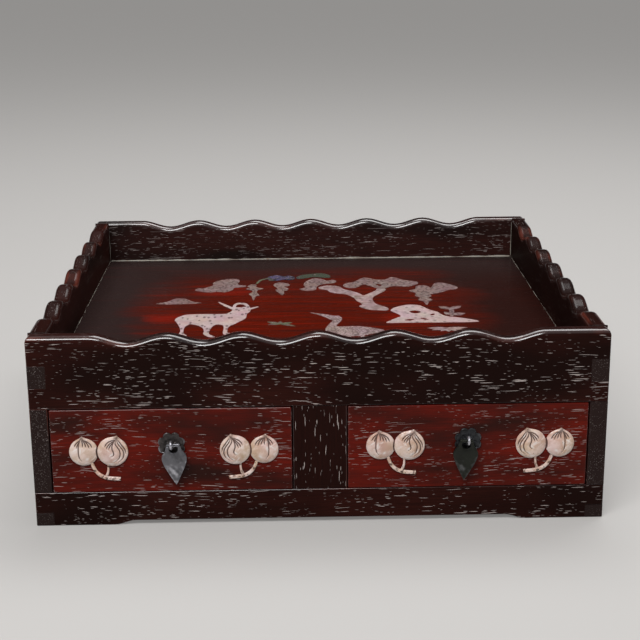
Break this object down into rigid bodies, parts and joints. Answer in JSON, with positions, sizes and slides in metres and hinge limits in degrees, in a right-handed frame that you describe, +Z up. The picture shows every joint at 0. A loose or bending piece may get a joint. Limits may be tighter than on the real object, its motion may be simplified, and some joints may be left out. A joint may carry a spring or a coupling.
{
  "type": "tray with drawers",
  "caption": "Low wooden tray box with a wavy gallery round an inlaid panel and side by side drawers with drop pulls below, for keeping and serving small things.",
  "frame": {"origin": "middle of the object's footprint, on the surface that the feet stand on", "axes": "+X along the front to the right, +Y from the drawers to the back, +Z up"},
  "size_m": [0.32, 0.3066, 0.111],
  "materials": {
    "case_wood": "oiled dark open-pored hardwood",
    "panel_wood": "polished red-brown hardwood",
    "drawer_front_wood": "oiled red-brown open-pored hardwood",
    "inner_wood": "plain unpolished wood",
    "pull_metal": "dark worn pewter grey",
    "pearl_ornament": "carved cream-pink mother of pearl",
    "pearl_inlay": "flat pinkish white mother of pearl",
    "abalone_inlay": "flat green-blue shell"
  },
  "bodies": {
    "case": {"left_side": "case_wood", "right_side": "case_wood", "front_board": "case_wood", "back_board": "case_wood", "bottom_rail": "case_wood", "centre_stile": "case_wood", "tray_panel": "panel_wood", "base_board": "inner_wood", "centre_partition": "inner_wood", "left_guide": "inner_wood", "right_guide": "inner_wood", "deer_inlay": "pearl_inlay", "crane_inlay": "pearl_inlay", "pine_trunk_inlay": "pearl_inlay", "pine_foliage_inlay": "pearl_inlay", "abalone_foliage_inlay": "abalone_inlay", "rock_inlay": "pearl_inlay", "rock_plant_inlay": "pearl_inlay", "grass_inlay": "pearl_inlay", "cloud_inlay": "pearl_inlay", "leaf_sprig_inlay": "abalone_inlay"},
    "left_drawer": {"left_drawer_front": "drawer_front_wood", "left_drawer_left_side": "inner_wood", "left_drawer_right_side": "inner_wood", "left_drawer_back": "inner_wood", "left_drawer_bottom": "inner_wood", "left_drawer_peaches": "pearl_ornament", "left_drawer_branches": "pearl_ornament", "left_pull_rosette": "pull_metal", "left_pull_cotter": "pull_metal"},
    "right_drawer": {"right_drawer_front": "drawer_front_wood", "right_drawer_left_side": "inner_wood", "right_drawer_right_side": "inner_wood", "right_drawer_back": "inner_wood", "right_drawer_bottom": "inner_wood", "right_drawer_peaches": "pearl_ornament", "right_drawer_branches": "pearl_ornament", "right_pull_rosette": "pull_metal", "right_pull_cotter": "pull_metal"},
    "left_drop": {"left_pull_drop": "pull_metal"},
    "right_drop": {"right_pull_drop": "pull_metal"}
  },
  "joints": [
    {"name": "left_drawer_slide", "type": "slide", "parent": "case", "child": "left_drawer", "axis": [0, -1, 0], "range_m": [0, 0.2]},
    {"name": "left_drop_swing", "type": "hinge", "parent": "left_drawer", "child": "left_drop", "pos_m": [-0.0825, -0.15065, 0.04904], "axis": [-0.9986, 0, -0.0523], "range_deg": [0, 150]},
    {"name": "right_drawer_slide", "type": "slide", "parent": "case", "child": "right_drawer", "axis": [0, -1, 0], "range_m": [0, 0.2]},
    {"name": "right_drop_swing", "type": "hinge", "parent": "right_drawer", "child": "right_drop", "pos_m": [0.0825, -0.15065, 0.04904], "axis": [-0.9986, 0, 0.0523], "range_deg": [0, 150]}
  ]
}
